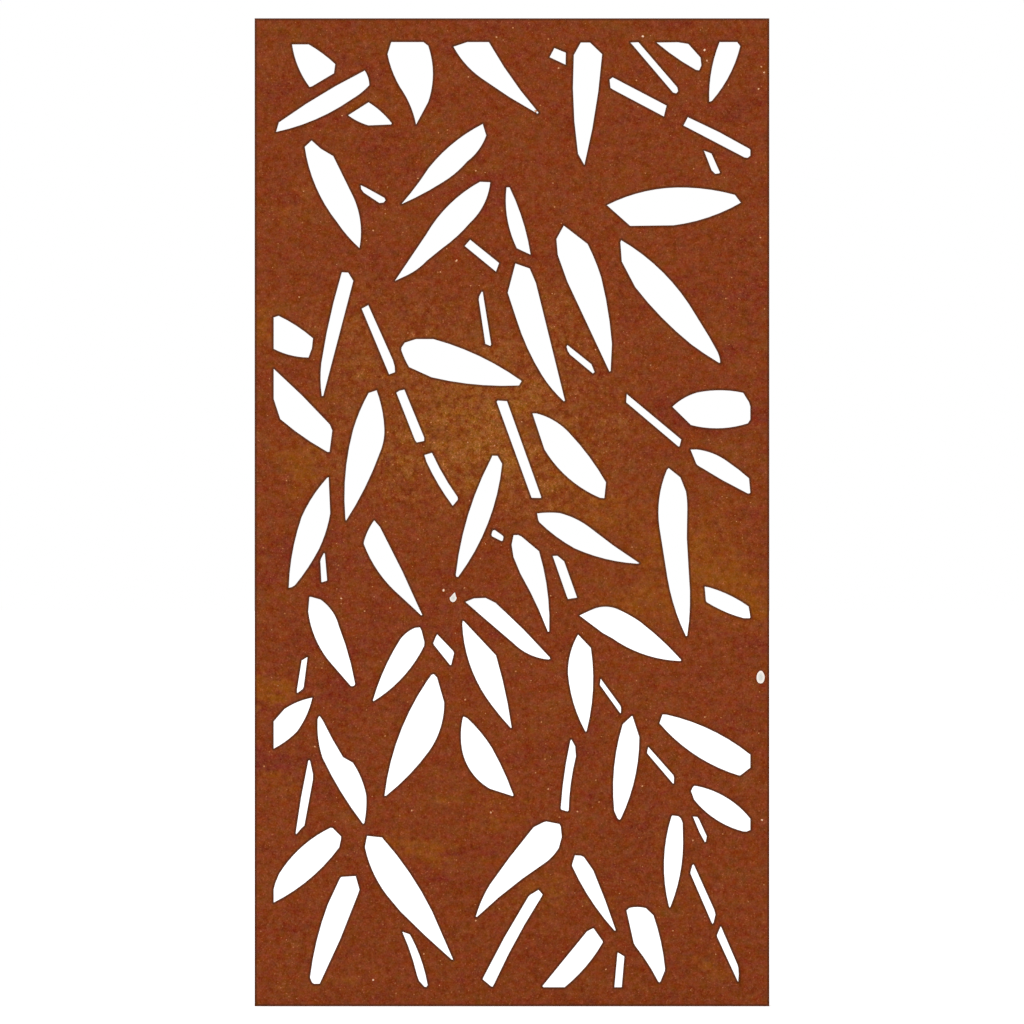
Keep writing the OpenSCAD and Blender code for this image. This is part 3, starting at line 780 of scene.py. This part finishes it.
# %% Stainless finish
def stainless_finish():
    """Dull stainless steel, turned or pressed, with a little rust from its neighbours."""
    material, shader, place = new_finish("stainless")
    wear = place.noise(900.0, detail=3.0)
    stain = place.noise(260.0, detail=4.0, roughness=0.6).between(0.52, 0.74)
    feed(shader, "Base Color", (stain * 0.7).mix(paint(196, 194, 190), paint(134, 86, 56)))
    feed(shader, "Roughness", 0.26 + wear * 0.2 + stain * 0.3)
    feed(shader, "Metallic", 1.0 - stain * 0.8)
    return material


stainless = stainless_finish()


def add_fasteners(name, rings, node, around=False):
    """The rings of all studs, washers or nuts as one piece in place of the modelled node."""
    mesh = ringed_mesh(name, rings, around)
    settle(mesh)
    add_piece(name, mesh, stainless, "stainless", node)


# %% Studs
THREAD_PITCH = 0.7 * MM
THREAD_DEPTH = 0.43 * MM
ROWS_PER_TURN = 8
# The flat crest of the thread and the flat bottom of its groove, as shares of half a pitch.
THREAD_FLAT = 0.15
SHANK_RADIUS = 2.0 * MM
FOOT_RADIUS = 2.7 * MM
FOOT_HEIGHT = 0.8 * MM
# How far the foot's upper edge is rounded inwards and downwards.
FOOT_ROUND_IN, FOOT_ROUND_DOWN = 0.2 * MM, 0.25 * MM
# The plain neck above the foot, and the length in which the thread deepens and the tip narrows.
NECK = 0.1 * MM
RUN_OUT = 0.5 * MM
STUD_COLUMNS = 24


def stud_rings():
    """A stud: the foot, then the shank's radius less the groove, turn = height / pitch - angle."""
    low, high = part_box("weld_studs")
    length = high.y - low.y
    height = np.arange(FOOT_HEIGHT + NECK, length, THREAD_PITCH / ROWS_PER_TURN)
    height = np.append(height, length)[:, None]
    angle = np.linspace(0, 1, STUD_COLUMNS, endpoint=False)[None]
    turn = (height / THREAD_PITCH - angle) % 1
    groove = np.clip((np.abs(2 * turn - 1) - THREAD_FLAT) / (1 - 2 * THREAD_FLAT), 0, 1)
    started = np.clip((height - FOOT_HEIGHT - NECK) / RUN_OUT, 0, 1)
    tip = SHANK_RADIUS - RUN_OUT + (length - height)
    radius = np.minimum(SHANK_RADIUS - THREAD_DEPTH * groove * started, tip)
    foot = np.array([[FOOT_RADIUS, 0], [FOOT_RADIUS, FOOT_HEIGHT - FOOT_ROUND_DOWN],
                     [FOOT_RADIUS - FOOT_ROUND_IN, FOOT_HEIGHT],
                     [SHANK_RADIUS, FOOT_HEIGHT + NECK / 2]])
    radius = np.vstack([np.repeat(foot[:, :1], STUD_COLUMNS, axis=1), radius])
    height = np.vstack([foot[:, 1:], height])
    return turned(radius, height, STUD_COLUMNS, low.y)


add_fasteners("threaded_studs", stud_rings(), "weld_studs")

# %% Washers
WASHER_RADIUS = 4.5 * MM
WASHER_BORE = 2.15 * MM
# How far the outer edge is rounded and the bore's edge bevelled.
STAMPED_ROUND = 0.2 * MM
BORE_BEVEL = 0.15 * MM
RING_COLUMNS = 48


def washer_rings():
    """A stamped washer: its outer and inner edges are softened on the side that faces the punch."""
    low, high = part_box("washers")
    top = high.y - low.y
    outline = np.array([
        [WASHER_BORE, 0], [WASHER_RADIUS, 0], [WASHER_RADIUS, top - STAMPED_ROUND],
        [WASHER_RADIUS - 0.3 * STAMPED_ROUND, top - 0.3 * STAMPED_ROUND],
        [WASHER_RADIUS - STAMPED_ROUND, top],
        [WASHER_BORE + BORE_BEVEL, top], [WASHER_BORE, top - BORE_BEVEL]])
    radius = np.repeat(outline[:, :1], RING_COLUMNS, axis=1)
    return turned(radius, outline[:, 1:], RING_COLUMNS, low.y)


add_fasteners("stamped_washers", washer_rings(), "washers", around=True)

# %% Nuts
NUT_FLATS = 7.0 * MM
NUT_BORE = 1.85 * MM
COUNTERSINK_RADIUS = 2.2 * MM
COUNTERSINK_DEPTH = 0.35 * MM
# The radius of the flat end, where the cone starts, as a share of the width across the flats.
NUT_END = 0.475
CONE_ANGLE = math.radians(30)


def nut_rings():
    """A nut round its bore: out over the end, down the cone to the hexagon, and back.

    The hexagon's radius is half its width across the flats / cos of the angle from a flat."""
    low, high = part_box("nuts")
    top = high.y - low.y
    angle = np.linspace(0, 2 * math.pi, RING_COLUMNS, endpoint=False)
    from_flat = (angle + math.radians(30)) % math.radians(60) - math.radians(30)
    hexagon = NUT_FLATS / 2 / np.cos(from_flat)
    end_radius = NUT_FLATS * NUT_END
    cone = (hexagon - end_radius) * math.tan(CONE_ANGLE)
    plain = np.ones(RING_COLUMNS)
    radius = np.stack([NUT_BORE * plain, COUNTERSINK_RADIUS * plain, end_radius * plain, hexagon])
    height = np.stack([COUNTERSINK_DEPTH * plain, 0 * plain, 0 * plain, cone])
    radius = np.vstack([radius, radius[::-1]])
    height = np.vstack([height, top - height[::-1]])
    return turned(radius, height, RING_COLUMNS, low.y)


add_fasteners("hexagon_nuts", nut_rings(), "nuts", around=True)

# %% [markdown]
# ## Weld beads
# A bead is laid drop by drop, and each drop freezes as a crescent on the one before. The bead's
# face is a shallow arc between the two walls, swelled by a wave along the bead that lags at its
# edges. Without the lag the wave would give straight ribs, so the lag makes the crescents. The
# finish is the frame's rust, darker, with some of the grey scale that welding leaves.

# %% Rippled beads
BEAD_LEG = 3.0 * MM
# How far the bead bulges between the walls, as a share of its leg.
BEAD_BULGE = 0.16
RIPPLE_PITCH = 1.25 * MM
RIPPLE_HEIGHT = 0.16 * MM
# How many ripples the wave lags at the bead's edges.
RIPPLE_LAG = 0.55
BEAD_END = 1.6 * MM
# How far the bead's back lies in the corner, so that no gap shows.
BEAD_SUNK = 0.25 * MM
BEAD_ROWS, BEAD_COLUMNS = 140, 15


def bead_rings():
    """Four beads: from each corner, reach x (1 - across, across) along its two walls.

    The reach is the leg, a sine of the way across as bulge, and the ripples. Their count is the
    length / pitch, plus the lag x the square of the distance from the bead's middle line. The
    ends are quarter circles. One more point in each row, in the corner, closes the back."""
    low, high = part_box("corner_welds")
    wall_x = np.array([low.x, high.x, low.x, high.x])[:, None, None]
    wall_z = np.array([low.z, low.z, high.z, high.z])[:, None, None]
    into_x = np.array([1.0, -1.0, 1.0, -1.0])[:, None, None]
    into_z = np.array([1.0, 1.0, -1.0, -1.0])[:, None, None]
    length = high.y - low.y
    along = np.linspace(0, 1, BEAD_ROWS)[None, :, None]
    across = np.linspace(0, 1, BEAD_COLUMNS)[None, None, :]
    chance = np.random.default_rng(3)
    phase = chance.uniform(0, 2 * math.pi, (4, 4, 1, 1))
    ripple = along * length / RIPPLE_PITCH + RIPPLE_LAG * (2 * across - 1) ** 2
    ripple = ripple + 0.12 * np.sin(9 * along + phase[0])
    wave = 1 - np.abs(np.sin(math.pi * ripple + phase[1]))
    swell = np.sin(math.pi * across)
    wander = 0.05 * np.sin(14 * along + phase[2]) + 0.03 * np.sin(31 * along + phase[3])
    from_end = np.minimum(along, 1 - along) * length / BEAD_END
    taper = np.sqrt(np.clip(1 - (1 - np.clip(from_end, 0.02, 1)) ** 2, 0, 1))
    leg = BEAD_LEG * (0.93 + wander)
    reach = taper * (leg + swell * (BEAD_BULGE * BEAD_LEG + RIPPLE_HEIGHT * wave))
    back = np.full((*reach.shape[:2], 1), -BEAD_SUNK)
    x = wall_x + into_x * np.concatenate([(1 - across) * reach, back], axis=2)
    z = wall_z + into_z * np.concatenate([across * reach, back], axis=2)
    y = np.broadcast_to(low.y + along * length, x.shape)
    return np.stack([x, y, z], axis=-1)


# %% Weld finish
def weld_finish():
    """Rust like the frame's, darker, with ochre spots and grey scale left in the crescents."""
    material, shader, place = new_finish("rusted_weld")
    ochre_spots = place.noise(150.0, detail=2.0).between(0.55, 0.75) * 0.6
    colour, mottle, grain = rust_colour(place, ochre_spots, darkness=0.22)
    scale = place.noise(700.0, detail=2.0).between(0.48, 0.62)
    feed(shader, "Base Color", (scale * 0.45).mix(colour, paint(74, 66, 62)))
    feed(shader, "Roughness", 0.62 + (mottle - 0.5) * 0.3)
    add_relief(shader, mottle, grain, 0.1 * MM, shine=0.25)
    return material


bead_mesh = ringed_mesh("rippled_welds", bead_rings())
settle(bead_mesh, crease=50)
add_piece("rippled_welds", bead_mesh, weld_finish(), "weld", "corner_welds")

# %% [markdown]
# ## Floor, light and white surroundings
# The photograph is a cut-out on pure white, with hardly any shading. The light is therefore
# soft and nearly even: a pale sky all round and three broad suns, whose light is the same all
# over the sheet. The camera, and whatever mirrors the surroundings, sees the sky as white, while
# its light on the screen is weaker than that. The floor is pale and keeps a faint shadow.

# %% Suns
def add_sun(name, towards, strength, softness):
    """A sun whose light travels in one direction, its disc softness degrees wide."""
    lamp = bpy.data.lights.new(name, "SUN")
    lamp.energy = strength
    lamp.angle = math.radians(softness)
    sun = bpy.data.objects.new(name, lamp)
    sun.rotation_mode = "QUATERNION"
    sun.rotation_quaternion = Vector(towards).to_track_quat("-Z", "Y")
    bpy.context.collection.objects.link(sun)
    print("sun", name, "of strength", strength)


add_sun("key", (0.5, 0.9, -0.7), 1.2, 30)
add_sun("fill", (-0.7, 0.8, -0.3), 0.6, 40)
add_sun("rear", (0.35, -0.8, -0.6), 1.0, 30)

# %% Sky
SKY_LIGHT = 0.5
BLACK, WHITE = (0, 0, 0, 1), (1, 1, 1, 1)


def seen_directly(tree):
    """1 for what the camera sees, itself or in a mirror or through glass, and 0 for light."""
    path = Signal(tree).node("LightPath", output="Is Camera Ray")
    rays = path.socket.node.outputs
    mirrored = Signal(tree, rays["Is Glossy Ray"])
    through = Signal(tree, rays["Is Transmission Ray"])
    return path.math("MAXIMUM", path, path.math("MAXIMUM", mirrored, through))


sky = bpy.data.worlds.new("white_studio")
sky.use_nodes = True
sky.node_tree.nodes.clear()
shown = seen_directly(sky.node_tree)
dim = shown.node("Background", None, {"Color": WHITE, "Strength": SKY_LIGHT})
white = shown.node("Background", None, {"Color": WHITE, "Strength": 1.0})
both = shown.node("MixShader", None, {0: shown, 1: dim, 2: white})
shown.node("OutputWorld", None, {"Surface": both})
bpy.context.scene.world = sky
print("sky:", len(sky.node_tree.nodes), "nodes")

# %% Floor
FLOOR_HALF = 40.0
FLOOR_GREY = (0.7, 0.7, 0.7, 1)
# With this glow the lit floor just reaches white, and a shadow on it still shows.
FLOOR_GLOW = 0.62

floor_mesh = bpy.data.meshes.new("floor")
floor_mesh.from_pydata([(-FLOOR_HALF, -FLOOR_HALF, 0), (FLOOR_HALF, -FLOOR_HALF, 0),
                        (FLOOR_HALF, FLOOR_HALF, 0), (-FLOOR_HALF, FLOOR_HALF, 0)],
                       [], [(0, 1, 2, 3)])
floor = bpy.data.objects.new("floor", floor_mesh)
bpy.context.collection.objects.link(floor)
floor_finish, floor_shader, _ = new_finish("pale_floor")
floor_shader.inputs["Base Color"].default_value = FLOOR_GREY
floor_shader.inputs["Roughness"].default_value = 0.9
floor_shader.inputs["Specular IOR Level"].default_value = 0.0
floor_shader.inputs["Emission Strength"].default_value = FLOOR_GLOW
feed(floor_shader, "Emission Color", seen_directly(floor_finish.node_tree).mix(BLACK, WHITE))
floor_mesh.materials.append(floor_finish)
floor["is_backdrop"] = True
print("floor:", 2 * FLOOR_HALF, "m square")

# %% [markdown]
# ## Sizes
# The dressed screen should fill the modelled part's box and hardly leave it, as the rust, the
# rounded edges and the specks add next to nothing. Both boxes are written down to be compared.

# %% Finish
new_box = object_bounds()
for name, (low, high) in (("modelled", cad_box), ("dressed", new_box)):
    print(name, "size in mm:", *(round(side / MM, 2) for side in high - low))
